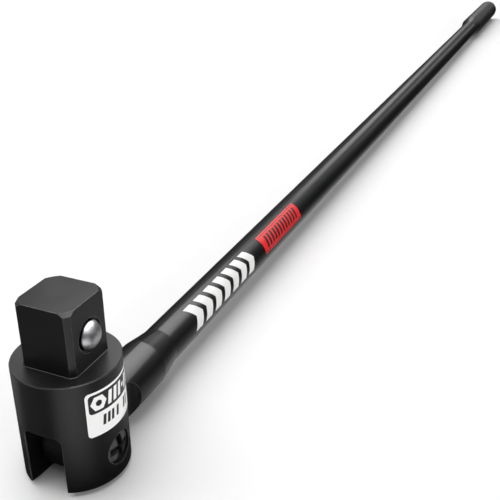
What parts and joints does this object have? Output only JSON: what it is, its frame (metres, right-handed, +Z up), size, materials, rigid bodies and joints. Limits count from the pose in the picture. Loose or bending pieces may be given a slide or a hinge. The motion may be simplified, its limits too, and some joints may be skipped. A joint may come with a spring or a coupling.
{
  "type": "breaker bar",
  "caption": "Long steel breaker bar: square drive on a round head that swivels on the end of a round bar, with a thicker grip at the far end.",
  "frame": {"origin": "the middle of the tool's length and width, on the surface that it lies on with its drive up", "axes": "+X along the bar from the drive head to the grip, +Z up along the square drive, +Y to the side away from the pivot screw's head"},
  "size_m": [1.219, 0.0451, 0.0825],
  "materials": {
    "black_steel": "black oxide, satin",
    "screw_steel": "black oxide, satin",
    "polished_ball": "polished",
    "spring_steel": "drawn wire",
    "head_sticker": "printed vinyl, white with a black band",
    "black_ink": "printed black ink",
    "white_print": "pad-printed white paint",
    "shaft_sticker": "printed vinyl, red"
  },
  "bodies": {
    "handle": {"handle_bar": "black_steel", "grip_sleeve": "black_steel", "friction_spring": "spring_steel", "shaft_label": "shaft_sticker"},
    "head": {"drive_head": "black_steel", "pivot_screw": "screw_steel", "lock_washer": "screw_steel", "detent_spring": "spring_steel", "head_label": "head_sticker"},
    "detent_ball": {"detent_ball": "polished_ball"},
    "friction_ball": {"friction_ball": "polished_ball"}
  },
  "joints": [
    {"name": "head_swivel", "type": "hinge", "parent": "handle", "child": "head", "pos_m": [-0.587, 0, 0.015], "axis": [0, 1, 0], "range_deg": [-185, 5]},
    {"name": "detent_press", "type": "slide", "parent": "head", "child": "detent_ball", "axis": [0, 1, 0], "range_m": [0, 0.0039], "stiffness_N_per_m": 4000, "springref_m": -0.003, "deforming": ["detent_spring"]},
    {"name": "friction_press", "type": "slide", "parent": "handle", "child": "friction_ball", "axis": [0, -1, 0], "range_m": [0, 0.0002], "stiffness_N_per_m": 3000, "springref_m": -0.001, "deforming": ["friction_spring"]}
  ]
}
